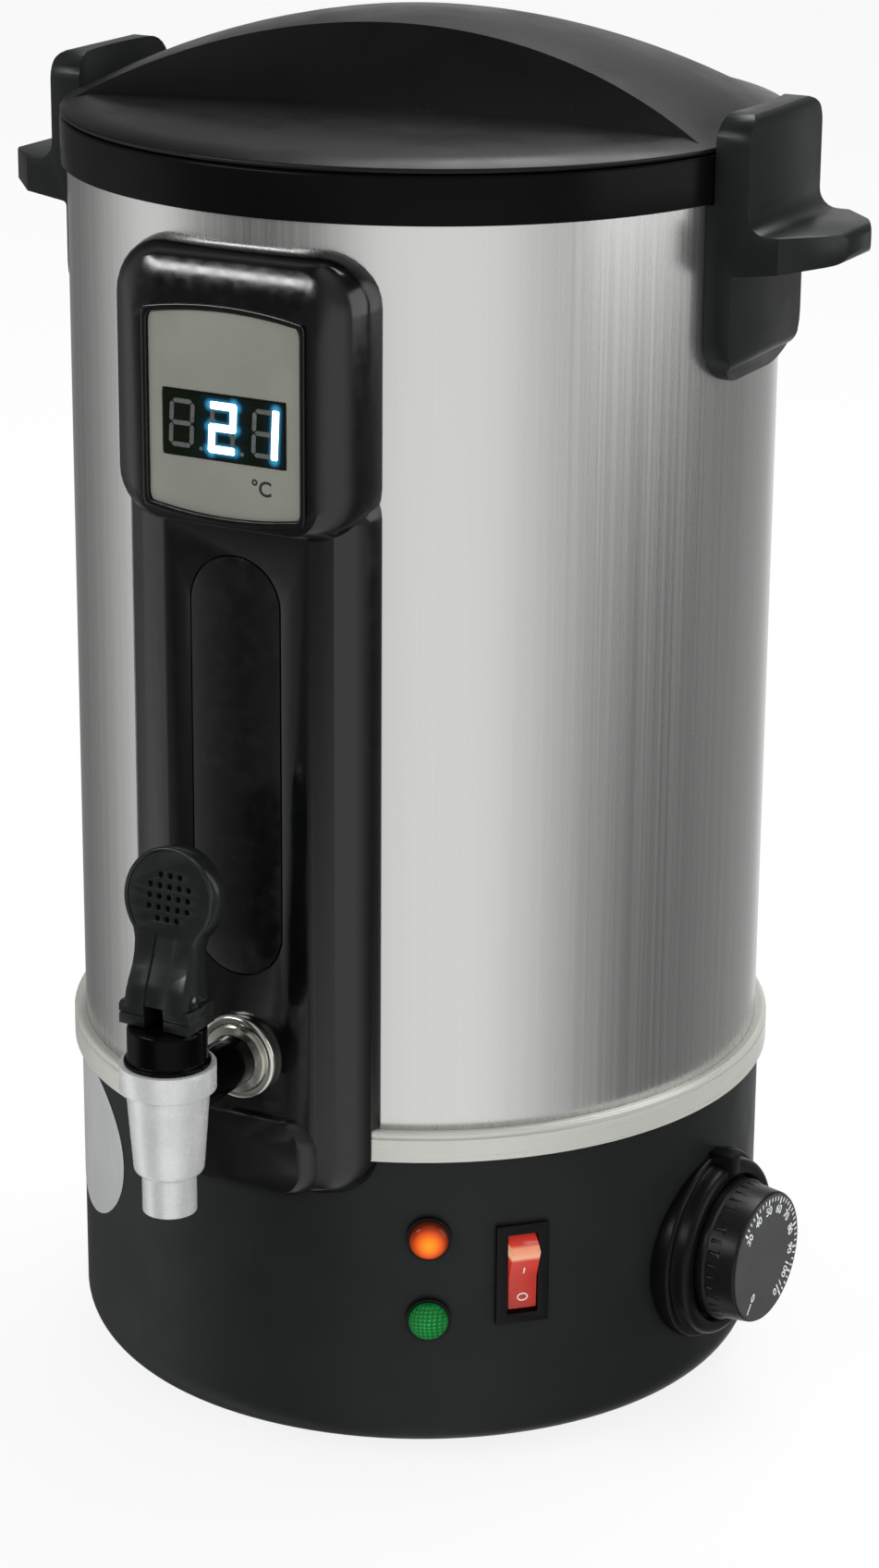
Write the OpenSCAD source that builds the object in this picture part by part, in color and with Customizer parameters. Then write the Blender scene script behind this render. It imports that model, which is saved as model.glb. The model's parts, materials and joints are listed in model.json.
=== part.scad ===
// Candle wax melter: an 8 litre electric melting pot with a lever tap.
// Millimetres. The origin is on the pot's axis, in the plane that it stands on.
// The front, with the display and the tap, faces -Y. The knob and a handle are towards +X.

/* [Pot and jacket] */
// Outer radius of the steel jacket
jacket_r = 105; // [95:1:130]
// Height at which the jacket ends, under the collar
jacket_top = 376; // [340:1:460]
// Sheet thickness of the jacket and the pot
sheet = 0.8; // [0.6:0.1:1.2]
// Air gap between the jacket and the pot
air_gap = 4.7; // [4:0.1:8]
// Height of the pot's floor above the base housing
floor_rise = 14.8; // [13:0.1:24]

/* [Base] */
// Height of the base housing's top edge
base_h = 99.2; // [96:0.1:110]
// How far the base housing stands out past the jacket
base_step = 1.3; // [1:0.1:3]
// Wall of the base housing
base_wall = 2.5; // [2:0.1:4]
// Height of the trim ring above the base
ring_h = 9.4; // [6:0.1:14]
// How far the trim ring stands out past the jacket
ring_step = 3.6; // [2.5:0.1:5]

/* [Rim and lid] */
// Height of the collar's outer band
collar_h = 13.7; // [12:0.1:20]
// How far the collar stands out past the jacket
collar_step = 1.85; // [1.5:0.05:3]
// Rise of the lid's dome above its flat floor
dome_rise = 25; // [18:1:34]
// Half width of the grip at the middle of the lid
grip_half = 21.5; // [16:0.5:24]
// How much wider the grip is at its ends, on each side
grip_flare = 13; // [8:1:16]
// Turn of the grip about the pot's axis
grip_turn = 7; // [0:1:20]

/* [Fascia] */
// Width of the fascia where it meets the jacket
fascia_w = 80; // [74:1:90]
// Distance of the display head's face from the axis, past the jacket
head_proud = 10; // [9:0.5:14]
// Width of the display head's face
head_w = 59; // [56:1:64]
// Height of the display head's face
head_h = 63; // [62:1:68]
// Distance of the middle of the display head below the jacket's top
head_drop = 55; // [50:1:80]
// Wall of the fascia moulding
fascia_wall = 2.2; // [1.8:0.1:2.6]

/* [Tap] */
// Height of the tap's shank above the pot's floor
tap_rise = 14; // [12:0.5:20]
// Distance of the tap's outlet from the jacket
tap_reach = 44; // [40:1:60]
// Inner radius of the outlet
nozzle_r = 6.5; // [5:0.1:7]
// Outer radius of the shank
shank_r = 7.5; // [7:0.1:9]
// Length of the lever from its pin to the middle of its paddle
lever_len = 28.5; // [26:0.5:34]

/* [Controls] */
// Angle of the two lamps from the front
lamp_az = 30; // [28:1:34]
// Angle of the switch from the front
switch_az = 45; // [43:1:55]
// Angle of the temperature knob from the front
knob_az = 85.5; // [80:0.5:100]
// Height of the temperature knob's centre
knob_z = 50.5; // [50:0.5:56]
// Radius of the knob's face
knob_r = 20.4; // [16:0.1:22]

/* [Handles] */
// Width of each handle
handle_w = 50; // [44:1:60]
// How far each handle's ledge reaches past the jacket
ledge_reach = 33; // [26:1:40]

/* [Hidden] */
$fn = 96;
eps = 0.5;
seat_gap = 0.05;   // face to face within one body
move_gap = 0.3;    // between pieces that move apart
run_gap = 0.06;    // radial, shaft in bore

// Round shells
pot_floor = base_h + floor_rise;
jacket_in = jacket_r - sheet;
pot_r = jacket_in - air_gap;
pot_in = pot_r - sheet;
pot_corner = 4;
base_r = jacket_r + base_step;
ring_r = jacket_r + ring_step;
collar_r = jacket_r + collar_step;
ring_z0 = base_h + 0.2;
ring_z1 = ring_z0 + ring_h;
collar_z1 = jacket_top + 11;
collar_z0 = collar_z1 - collar_h;
collar_in = pot_in + 0.3;
flange_z = jacket_top + seat_gap;
lid_z0 = collar_z1 + move_gap;
lid_floor = lid_z0 + 3.7;
lid_wall = 2.4;

// Base
foot_h = 6.2;
lip_z = 3;
lip_r = base_r - 10.8;
lip_in = lip_r - 3.5;
plate_z = 6.3;
plate_t = 1.2;
foot_out = lip_in - 0.5;
foot_in = foot_out - 9;
gland_z = 32;
gland_r = 3.8;

// Fascia
tap_z = pot_floor + tap_rise;
head_y = jacket_r + head_proud;
head_z = jacket_top - head_drop;
mid_y = head_y - 5;
pad_y = mid_y + 3;
pad_top = base_h + 12.8;
fascia_top = head_z + 45;
fascia_bottom = base_h - 12.5;
step_z = head_z - head_h / 2 - 4.5;
panel_w = 29;
panel_z0 = tap_z + 25.5;
panel_z1 = step_z - 6.7;
display_z = head_z - 1.5;
plate_w = 48.4;
plate_h = 57.6;
window_w = 39.4;
window_h = 18.8;
window_z = head_z - 5;

// Tap
tap_y = jacket_r + tap_reach;
rim_z0 = tap_z + 4.9;
rim_z1 = tap_z + 12.4;
cone_z0 = tap_z - 20.5;
nozzle_z0 = tap_z - 32.9;
bonnet_top = tap_z + 24.3;
pin_z = bonnet_top + move_gap + 7.7;
pin_r = 1.5;
stem_r = 2.5;
lever_half = 7;
bore_r = 5;
washer_r = shank_r + 5.4;
seal_r = 10;
seal_t = 2;
// How far a flat seal of that radius stands off the curved wall of the pot
seal_sag = pot_in - sqrt(pot_in * pot_in - seal_r * seal_r) + seat_gap;

// Controls
switch_w = 16.3;
switch_h = 31.8;
switch_z = 61.5;
switch_face = base_r + 1.6;
rocker_pivot = base_r - 4;
rocker_w = 8.6;
rocker_h = 19.8;
rocker_rest = 12;
lamp_r = 5.8;
lamp_z = [74.5, 48.3];
bezel_r = knob_r + 9.2;
bezel_face = base_r + 3.4;
knob_back = bezel_face + 3.4;
knob_face = bezel_face + 16;
shaft_r = 3;

// Handles
handle_z0 = jacket_top - 55;
handle_z1 = jacket_top + 22;
handle_t = 9.7;
handle_screw_z = [handle_z0 + 14, handle_z0 + 34];

// ---------- helpers ----------

// Local x is to the right as seen from outside, y is up, z is the distance from the axis
module on_wall(az, z) {
    rotate([0, 0, az]) translate([0, 0, z]) rotate([90, 0, 0]) children();
}

// Points of an arc about [cx, cy], from angle a0 to a1
function arc(cx, cy, r, a0, a1, n = 8) =
    [for (i = [0:n]) [cx + r * cos(a0 + (a1 - a0) * i / n), cy + r * sin(a0 + (a1 - a0) * i / n)]];

module rounded_rect(w, h, r) {
    square([w - 2 * r, h], center = true);
    square([w, h - 2 * r], center = true);
    for (x = [-1, 1], y = [-1, 1]) translate([x * (w / 2 - r), y * (h / 2 - r)]) circle(r);
}

module slab(w, h, r, depth) {
    translate([0, 0, depth - 0.1]) linear_extrude(0.1) rounded_rect(w, h, r, $fn = 32);
}

module tube(r_out, r_in, h) {
    difference() {
        cylinder(r = r_out, h = h);
        translate([0, 0, -eps]) cylinder(r = r_in, h = h + 2 * eps);
    }
}

module pan_screw(head_r, head_h, r, len) {
    cylinder(r = head_r, h = head_h, $fn = 24);
    cylinder(r = r, h = head_h + len, $fn = 24);
}

// A round wire wound as a helix about Z: one closed tube
module coil(radius, wire_r, z0, z1, turns, sides = 6, steps = 14) {
    n = turns * steps;
    rings = [for (i = [0:n]) let (a = 360 * i / steps, z = z0 + (z1 - z0) * i / n)
        [for (s = [0:sides - 1]) let (b = 360 * s / sides)
            [(radius + wire_r * cos(b)) * cos(a), (radius + wire_r * cos(b)) * sin(a),
             z + wire_r * sin(b)]]];
    points = [for (ring = rings) each ring];
    walls = [for (i = [0:n - 1], s = [0:sides - 1]) let (
            p = i * sides + s, q = i * sides + (s + 1) % sides)
        each [[p, p + sides, q + sides], [p, q + sides, q]]];
    caps = [[for (s = [0:sides - 1]) s], [for (s = [sides - 1:-1:0]) n * sides + s]];
    polyhedron(points, concat(walls, caps));
}

// ---------- base ----------

module foot_ring() {
    color("#161616") rotate_extrude() polygon(concat(
        [[foot_in, foot_h], [foot_in, 0]],
        arc(foot_out - 1.5, 1.5, 1.5, -90, 0, 4),
        [[foot_out, foot_h]]));
}

module base_plate() {
    color("#8a8d8f") translate([0, 0, plate_z]) difference() {
        cylinder(r = lip_r - 1.1, h = plate_t);
        translate([0, 0, -eps]) cylinder(r = 3.4, h = plate_t + 2 * eps);
        for (a = [0:30:330], r = [34, 46, 58])
            rotate([0, 0, a]) translate([r, 0, -eps]) cylinder(r = 2.4, h = plate_t + 2 * eps);
    }
}

module base_shell() {
    color("#232628") difference() {
        rotate_extrude() polygon(concat(
            [[lip_in, lip_z]],
            arc(lip_r - 1, lip_z + 1, 1, -90, -60, 2),
            arc(base_r - 12, lip_z + 12, 12, -48, 0, 10),
            [[base_r, base_h], [jacket_r - 8.5, base_h], [jacket_r - 8.5, base_h - 2.5],
             [base_r - base_wall, base_h - 2.5]],
            arc(base_r - 12, lip_z + 12, 12 - base_wall, 0, -44, 8),
            [[lip_r - 0.6, lip_z + 3.2], [lip_in, lip_z + 3.2]]));
        on_wall(switch_az, switch_z) translate([0, 0, base_r - 12])
            linear_extrude(20) square([switch_w - 1.6, switch_h - 3.6], center = true);
        for (z = lamp_z) on_wall(lamp_az, z) cylinder(r = lamp_r - 0.2, h = base_r + 5);
        on_wall(knob_az, knob_z) cylinder(r = 5.2, h = base_r + 5);
        on_wall(180, gland_z) cylinder(r = 6.2, h = base_r + 5);
    }
}

module tie_nut() {
    color("#b9bcbe") translate([0, 0, plate_z - 3]) difference() {
        cylinder(r = 5.8, h = 3 - seat_gap, $fn = 6);
        translate([0, 0, -eps]) cylinder(r = 3 + seat_gap, h = 4);
    }
}

module cord_gland() {
    color("#1a1b1c") on_wall(180, gland_z) translate([0, 0, base_r - 12]) difference() {
        union() {
            cylinder(r = 6, h = 22);
            translate([0, 0, 12.4]) cylinder(r = 9, h = 3);
            translate([0, 0, 4]) cylinder(r = 9, h = 5, $fn = 6);
            translate([0, 0, 15.4]) cylinder(r = 8, h = 4, $fn = 6);
        }
        translate([0, 0, -eps]) cylinder(r = gland_r, h = 30);
    }
}

module terminal_block() {
    color("#d8d5c8") translate([0, 62, plate_z + plate_t + seat_gap]) difference() {
        translate([-18, -9, 0]) cube([36, 18, 14]);
        for (x = [-12, 0, 12]) translate([x, 0, 6]) cylinder(r = 2.6, h = 12);
        for (x = [-12, 0, 12]) translate([x, 12, 7]) rotate([90, 0, 0]) cylinder(r = 2, h = 24);
    }
}

module trim_ring() {
    color("#c9c6bf") rotate_extrude() polygon(concat(
        [[jacket_r + seat_gap, ring_z0], [ring_r, ring_z0], [ring_r, ring_z1 - 2.6]],
        [[ring_r - 0.5, ring_z1 - 2.4]],
        arc(ring_r - 1.2, ring_z1 - 1.2, 1.2, -45, 110, 6),
        [[jacket_r + seat_gap, ring_z1 - 0.6]]));
}

// ---------- jacket, pot and rim ----------

module outer_jacket() {
    color("#c4c6c8") difference() {
        translate([0, 0, base_h + seat_gap]) tube(jacket_r, jacket_in, jacket_top - base_h - seat_gap);
        on_wall(0, tap_z) cylinder(r = shank_r + 0.4, h = jacket_r + 5);
        for (a = [90, 270], z = handle_screw_z) on_wall(a, z) cylinder(r = 2.3, h = jacket_r + 5);
        for (a = [-10, 10], z = fascia_screw_z) on_wall(a, z) cylinder(r = 1.8, h = jacket_r + 5);
        on_wall(0, window_z + 20) cylinder(r = 4, h = jacket_r + 5);
    }
}

module inner_pot() {
    color("#d0d2d3") difference() {
        rotate_extrude() polygon(concat(
            [[0, pot_floor]],
            arc(pot_r - pot_corner, pot_floor + pot_corner, pot_corner, -90, 0, 6),
            [[pot_r, flange_z], [jacket_r, flange_z], [jacket_r, flange_z + sheet],
             [pot_in, flange_z + sheet]],
            arc(pot_r - pot_corner, pot_floor + pot_corner, pot_corner - sheet, 0, -90, 6),
            [[0, pot_floor + sheet]]));
        on_wall(0, tap_z) cylinder(r = shank_r + 0.2, h = pot_r + 5);
        on_wall(-24, tap_z + 16) cylinder(r = 3.2, h = pot_r + 5);
    }
}

module rim_collar() {
    color("#1c1e20") rotate_extrude() polygon(concat(
        [[jacket_r + 0.2, collar_z0], [collar_r, collar_z0]],
        arc(collar_r - 1, collar_z1 - 1, 1, 0, 90, 4),
        [[collar_in, collar_z1], [collar_in, flange_z + sheet + seat_gap],
         [jacket_r + 0.2, flange_z + sheet + seat_gap]]));
}

// ---------- heater and thermostat ----------
heater_top = pot_floor - seat_gap;
heater_h = 6;
heater_r = pot_in - 18.7;

module heater_plate() {
    color("#a7a9ab") translate([0, 0, heater_top - heater_h]) difference() {
        cylinder(r = heater_r, h = heater_h);
        translate([0, 0, -eps]) cylinder(r = 4, h = heater_h + 2 * eps);
    }
}

module heater_element() {
    color("#6b6a68") {
        translate([0, 0, heater_top - heater_h - 3.35]) rotate([0, 0, -78]) rotate_extrude(angle = 336)
            translate([heater_r - 22, 0]) circle(3.3, $fn = 32);
        for (s = [0, 336]) rotate([0, 0, s - 78]) translate([heater_r - 22, 0, heater_top - heater_h - 18])
            cylinder(r = 3.3, h = 14.65, $fn = 32);
    }
}

module heater_bridge() {
    bridge_z = heater_top - heater_h - 3;
    color("#9c9fa1") {
        translate([-50, -11, bridge_z]) cube([100, 22, 2.9]);
        translate([0, 0, plate_z - 4]) cylinder(r = 3, h = bridge_z - plate_z + 4);
    }
}

module thermal_cutout() {
    color("#34332f") translate([24, 34, heater_top - heater_h - 8]) {
        cylinder(r = 8.2, h = 7.95);
        for (x = [-4, 4]) translate([x - 1.5, -0.4, -7]) cube([3, 0.8, 7.5]);
    }
}

module thermostat_body() {
    color("#e0ddd4") on_wall(knob_az, knob_z) difference() {
        union() {
            translate([-14, -20, base_r - base_wall - 24]) cube([28, 40, 22]);
            translate([0, 0, base_r - base_wall - 2.5]) cylinder(r = 5, h = 4.6);
        }
        translate([0, 0, base_r - 22]) cylinder(r = shaft_r + run_gap, h = 30);
    }
}

module thermostat_bulb() {
    bulb_z = heater_top - heater_h - 3.1;
    riser_r = base_r - base_wall - 20;
    color("#b06a3c") rotate([0, 0, knob_az]) {
        translate([0, -riser_r, knob_z + 20 + seat_gap]) cylinder(r = 1, h = bulb_z - knob_z - 20.3, $fn = 16);
        translate([0, -riser_r, bulb_z]) sphere(1.4, $fn = 24);
        translate([0, 0.3 - riser_r, bulb_z]) rotate([-90, 0, 0]) cylinder(r = 1, h = 14, $fn = 16);
        translate([0, -riser_r + 13, bulb_z]) rotate([-90, 0, 0]) cylinder(r = 3, h = 8);
    }
}

module temperature_probe() {
    color("#b7b9bb") on_wall(-24, tap_z + 16) {
        translate([0, 0, pot_in - 14]) cylinder(r = 2.9, h = 16);
        translate([0, 0, pot_r + seat_gap]) cylinder(r = 5.4, h = 2.4, $fn = 6);
        translate([0, 0, pot_in - 3.6]) cylinder(r = 5, h = 2.6);
    }
}

// ---------- fascia and display ----------
fascia_screw_z = [tap_z + 42, head_z - 59];

// A raised form that rounds over from its root at depth y0 to its face at y1; sizes are [w, h, r]
module raised(root, face, y0, y1) {
    hull() for (t = [0, 0.35, 0.65, 0.88, 1]) let (k = 1 - sqrt(1 - t * t), size = root + (face - root) * k)
        slab(size[0], size[1], size[2], y0 + (y1 - y0) * t);
}

// The outer form of the moulding, or its hollow when inset is its wall
module fascia_form(inset) {
    step = [2 * inset, 2 * inset, 0];
    wall_y = jacket_r - 7;
    translate([0, head_z + 4, 0]) hull() {
        raised([fascia_w, 2 * (fascia_top - head_z - 4), 16] - step,
            [head_w + 8, head_h + 10, 12] - step, wall_y, head_y - 2 - inset);
        translate([0, -5.5, 0]) slab(head_w - 2 * inset, head_h - 2 * inset, 9, head_y - inset);
    }
    mid_h = step_z + 20 - fascia_bottom;
    translate([0, fascia_bottom + mid_h / 2, 0])
        raised([fascia_w, mid_h, 14] - step, [46, mid_h - 8, 10] - step, wall_y, mid_y - inset);
    pad_h = pad_top - fascia_bottom;
    translate([0, fascia_bottom + pad_h / 2, 0])
        raised([56, pad_h, 10] - step, [43, pad_h - 3, 8] - step, wall_y, pad_y - inset);
}

module display_outline(w, h) {
    intersection() {
        rounded_rect(w, h, 5, $fn = 32);
        translate([0, -130 + h / 2]) circle(130, $fn = 240);
        translate([0, 130 - h / 2]) circle(130, $fn = 240);
    }
}

module fascia_cover() {
    color("#141516") difference() {
        union() {
            difference() {
                on_wall(0, 0) fascia_form(0);
                on_wall(0, 0) fascia_form(fascia_wall);
            }
            on_wall(0, tap_z) cylinder(r = washer_r - 0.5, h = mid_y - 1);
            for (a = [-10, 10], z = fascia_screw_z) on_wall(a, z) cylinder(r = 4, h = mid_y + 0.5);
        }
        cylinder(r = jacket_r + 0.12, h = fascia_top + 10);
        cylinder(r = base_r + 0.15, h = base_h + 5);
        translate([0, 0, base_h]) cylinder(r = ring_r + 0.15, h = ring_z1 - base_h + 0.2);
        on_wall(0, tap_z) cylinder(r = shank_r + 0.2, h = head_y + 5);
        for (a = [-10, 10], z = fascia_screw_z) on_wall(a, z) cylinder(r = 1.3, h = mid_y - 1.2);
        on_wall(0, (panel_z0 + panel_z1) / 2) translate([0, 0, mid_y - 1.2])
            linear_extrude(5) rounded_rect(panel_w + 0.6, panel_z1 - panel_z0 + 0.6, panel_w / 2);
        on_wall(0, display_z) translate([0, 0, head_y - 1.3]) linear_extrude(5)
            display_outline(plate_w + 0.2, plate_h + 0.2);
        on_wall(0, window_z) translate([0, 0, head_y - 9]) linear_extrude(20)
            square([window_w + 0.3, window_h + 0.3], center = true);
    }
}

module fascia_screws() {
    color("#b9bcbe") for (a = [-10, 10], z = fascia_screw_z)
        on_wall(a, z) translate([0, 0, jacket_in - 1.9]) pan_screw(3, 1.8, 1.25, 4);
}

module sight_panel() {
    color("#0d0e0f") on_wall(0, (panel_z0 + panel_z1) / 2) translate([0, 0, mid_y - 1.15])
        linear_extrude(1.3) rounded_rect(panel_w - 0.4, panel_z1 - panel_z0 - 0.4, panel_w / 2 - 0.3);
}

module display_frame() {
    color("#1b1c1d") on_wall(0, display_z) translate([0, 0, head_y + seat_gap]) linear_extrude(1) difference() {
        display_outline(plate_w + 3.6, plate_h + 3.6);
        display_outline(plate_w + 0.4, plate_h + 0.4);
    }
}

module display_plate() {
    color("#8b8982") on_wall(0, display_z) translate([0, 0, head_y - 1.25]) linear_extrude(1.3) difference() {
        display_outline(plate_w, plate_h);
        translate([0, window_z - display_z]) square([window_w + 0.1, window_h + 0.1], center = true);
    }
}

module display_window() {
    color("#0b1016") on_wall(0, window_z) translate([0, 0, head_y - 1.3]) linear_extrude(1.6)
        rounded_rect(window_w, window_h, 1.2);
}

module display_board() {
    color("#1f4a2c") on_wall(0, head_z - 2) translate([0, 0, jacket_r + 0.6]) {
        linear_extrude(1.4) square([40, 44], center = true);
        translate([0, window_z - head_z + 2, 1.4]) linear_extrude(head_y - 1.4 - jacket_r - 2)
            square([window_w - 0.4, window_h], center = true);
    }
}

// ---------- tap ----------

// Solid outer form of the bowl, about its own vertical axis
module bowl_form(grow) {
    rotate_extrude() polygon(concat(
        [[0, nozzle_z0 - grow], [7.8 + grow, nozzle_z0 - grow], [7.8 + grow, cone_z0 - 1.2]],
        arc(8.5 + grow, cone_z0 + 1.2, 1.6, -80, -8, 4),
        [[11.9 + grow, rim_z0 - 1], [13.8 + grow, rim_z0], [13.8 + grow, rim_z1], [0, rim_z1]]));
}

module at_tap() {
    translate([0, -tap_y, 0]) children();
}

module tap_shank() {
    color("#1a1b1c") difference() {
        on_wall(0, tap_z) translate([0, 0, pot_in - 14]) cylinder(r = shank_r, h = tap_y - pot_in + 10);
        at_tap() bowl_form(seat_gap);
        on_wall(0, tap_z) cylinder(r = bore_r, h = tap_y + 5);
    }
}

module tap_washer() {
    color("#cfccc4") on_wall(0, tap_z) translate([0, 0, mid_y + seat_gap]) rotate_extrude() polygon(concat(
        [[shank_r + 0.15, 0], [washer_r, 0]],
        arc(washer_r - 1.2, 1.3, 1.2, 0, 90, 5),
        [[washer_r - 2.2, 2.4], [washer_r - 2.6, 1.7], [washer_r - 3, 3.8], [shank_r + 0.15, 4.2]]));
}

module tap_spacer() {
    color("#b7b9bb") difference() {
        on_wall(0, tap_z) translate([0, 0, pot_r - 2]) cylinder(r = 11, h = air_gap + 4);
        cylinder(r = pot_r + seat_gap, h = 300);
        difference() {
            cylinder(r = jacket_r + 10, h = 300);
            translate([0, 0, -eps]) cylinder(r = jacket_in - seat_gap, h = 302);
        }
        on_wall(0, tap_z) cylinder(r = shank_r + 0.1, h = jacket_r + 5);
    }
}

module tap_seal() {
    color("#c8452e") on_wall(0, tap_z) translate([0, 0, pot_in - seal_sag - seal_t])
        tube(seal_r, shank_r + 0.1, seal_t);
}

module tap_nut() {
    color("#b9bcbe") on_wall(0, tap_z) translate([0, 0, pot_in - seal_sag - seal_t - seat_gap - 6])
        difference() {
        cylinder(r = 12.5, h = 6, $fn = 6);
        translate([0, 0, -eps]) cylinder(r = shank_r + 0.1, h = 8);
    }
}

module tap_bowl() {
    color("#d6d8d9") difference() {
        at_tap() bowl_form(0);
        at_tap() rotate_extrude() polygon([
            [0, nozzle_z0 - 1], [nozzle_r, nozzle_z0 - 1], [nozzle_r, cone_z0 + 1], [8.3, cone_z0 + 3.5],
            [10.2, rim_z0 - 1.5], [10.6, rim_z0 + 1], [10.6, rim_z1 + 1], [0, rim_z1 + 1]]);
        on_wall(0, tap_z) cylinder(r = bore_r, h = tap_y);
    }
}

module tap_bonnet() {
    color("#1b1c1e") at_tap() difference() {
        rotate_extrude() polygon(concat(
            [[0, rim_z1 - 4], [10.5, rim_z1 - 4], [10.5, rim_z1 + seat_gap], [12.4, rim_z1 + seat_gap]],
            [[12.4, rim_z1 + 1.2], [11.4, rim_z1 + 1.6]],
            arc(9.6, bonnet_top - 1.8, 1.8, 0, 90, 5),
            [[0, bonnet_top]]));
        cylinder(r = stem_r + run_gap, h = bonnet_top + 5);
        translate([0, 0, rim_z1 - 4 - eps]) cylinder(r = 6.4, h = 3);
    }
}

module tap_spring() {
    color("#c0c2c4") at_tap() coil(4.9, 0.55, tap_z - 7.4, rim_z1 - 2.2, 6);
}

module tap_stem() {
    color("#d9d4c6") at_tap() difference() {
        union() {
            translate([0, 0, cone_z0 + 5]) cylinder(r = stem_r, h = pin_z - cone_z0 - 5);
            translate([0, 0, tap_z - 10]) cylinder(r = 6.2, h = 2);
            translate([-2.8, 0, pin_z]) rotate([0, 90, 0]) cylinder(r = 4, h = 5.6);
        }
        translate([-5, 0, pin_z]) rotate([0, 90, 0]) cylinder(r = pin_r + 0.01, h = 10);
    }
}

module tap_pin() {
    color("#b9bcbe") at_tap() translate([-9, 0, pin_z]) rotate([0, 90, 0]) cylinder(r = pin_r, h = 18, $fn = 48);
}

module tap_seat_cup() {
    color("#e6e2d8") at_tap() difference() {
        rotate_extrude() polygon([
            [0, cone_z0 + 1.6], [nozzle_r + 0.1, cone_z0 + 1.6], [7.9, cone_z0 + 3.4], [7.9, cone_z0 + 5.2],
            [6.2, cone_z0 + 8.5], [0, cone_z0 + 8.5]]);
        translate([0, 0, cone_z0 + 5 - seat_gap]) cylinder(r = stem_r + seat_gap, h = 10);
    }
}

// The lever about its pin: a foot that lifts it off the bonnet, a leaning neck and a round paddle
module tap_lever() {
    paddle_r = 14.5;
    lean = 10;
    side = [[-6.8, -3.5], [-6.8, 1], [-6.3, 4], [-4.9, 9], [-3.5, 17], [-3.2, 22], [-3.2, 60]];
    edge = [[9.6, -3.5], [9.2, 2], [8.9, 8], [9, 12], [9.5, 15.5], [10.6, 18.6]];
    color("#18191b") at_tap() translate([0, 0, pin_z]) difference() {
        union() {
            rotate([90, 0, 90]) linear_extrude(22.8, center = true) polygon([
                [-lever_half, -7.7], [lever_half, -7.7], [lever_half, -5.1], [lever_half - 0.8, -4.6],
                [lever_half, -4.1], [lever_half, -2], [lever_half - 1, -1.2], [1 - lever_half, -1.2],
                [-lever_half, -2], [-lever_half, -4.1], [0.8 - lever_half, -4.6], [-lever_half, -5.1]]);
            rotate([-lean, 0, 0]) intersection() {
                rotate([90, 0, 90]) linear_extrude(60, center = true) polygon(concat(
                    side, [for (i = [len(side) - 1:-1:0]) [-side[i][0], side[i][1]]]));
                rotate([90, 0, 0]) linear_extrude(40, center = true) {
                    polygon(concat(edge, [[0, lever_len]],
                        [for (i = [len(edge) - 1:-1:0]) [-edge[i][0], edge[i][1]]]));
                    translate([0, lever_len]) circle(paddle_r, $fn = 72);
                }
            }
        }
        rotate([0, 90, 0]) cylinder(r = 4.5, h = 6.4, center = true, $fn = 48);
        translate([-3.2, -10, -10]) cube([6.4, 13.1, 8.5]);
        rotate([0, 90, 0]) cylinder(r = pin_r + run_gap, h = 40, center = true, $fn = 48);
        rotate([-lean, 0, 0]) {
            rotate([90, 0, 90]) linear_extrude(6.4, center = true) polygon([
                [-20, -3], [-6, -3], [-6, 1], [-5.5, 4], [-4.1, 9], [-2.7, 17], [-2.6, 17.6], [-20, 17.6]]);
            for (i = [-2:2], j = [-2:2])
                if (i * i + j * j < 8)
                    translate([i * 3.1, -3.5, lever_len + j * 3.1]) sphere(1, $fn = 16);
        }
    }
}

// ---------- switch and lamps ----------

module switch_housing() {
    color("#1a1b1d") on_wall(switch_az, switch_z) difference() {
        union() {
            translate([0, 0, base_r + 0.1]) linear_extrude(switch_face - base_r - 0.1)
                square([switch_w, switch_h], center = true);
            translate([0, 0, base_r - 20]) linear_extrude(20.5)
                square([switch_w - 2, switch_h - 4], center = true);
            for (y = [-8, 0, 8]) translate([-3.2, y - 0.4, base_r - 27]) cube([6.4, 0.8, 8]);
        }
        translate([0, 0, base_r - 14]) linear_extrude(20)
            square([rocker_w + 2 * move_gap, rocker_h + 5.6], center = true);
    }
}

module switch_rocker() {
    end_r = norm([rocker_h / 2, 7.4]);
    end_a = atan2(7.4, rocker_h / 2);
    color("#c3241c") on_wall(switch_az, switch_z) translate([0, 0, rocker_pivot])
        rotate([rocker_rest, 0, 0]) rotate([90, 0, 90]) linear_extrude(rocker_w, center = true) polygon(concat(
            [[0, 5.6]], arc(0, 0, end_r, end_a, -14, 8), arc(0, 0, 4, -40, -140, 5),
            arc(0, 0, end_r, 194, 180 - end_a, 8)));
}

module lamp_holders() {
    color("#1a1b1d") for (z = lamp_z) on_wall(lamp_az, z) translate([0, 0, base_r - 16]) difference() {
        union() {
            cylinder(r = lamp_r - 0.3, h = 17);
            translate([0, 0, 16.5]) cylinder(r = lamp_r + 1, h = 1.2);
        }
        translate([0, 0, 3]) cylinder(r = lamp_r - 1.2, h = 20);
    }
}

module lamp_lens() {
    translate([0, 0, base_r - 10]) rotate_extrude() polygon(concat(
        [[0, 0], [lamp_r - 1.3, 0], [lamp_r - 1.3, 11.75], [lamp_r, 11.75]],
        arc(lamp_r - 2.2, 12.2, 2.2, 0, 60, 4),
        [[0, 15.2]]));
}

module lamp_amber() {
    color("#d2601a") on_wall(lamp_az, lamp_z[0]) lamp_lens();
}

module lamp_green() {
    color("#1e8c3c") on_wall(lamp_az, lamp_z[1]) lamp_lens();
}

// ---------- temperature knob ----------

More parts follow.
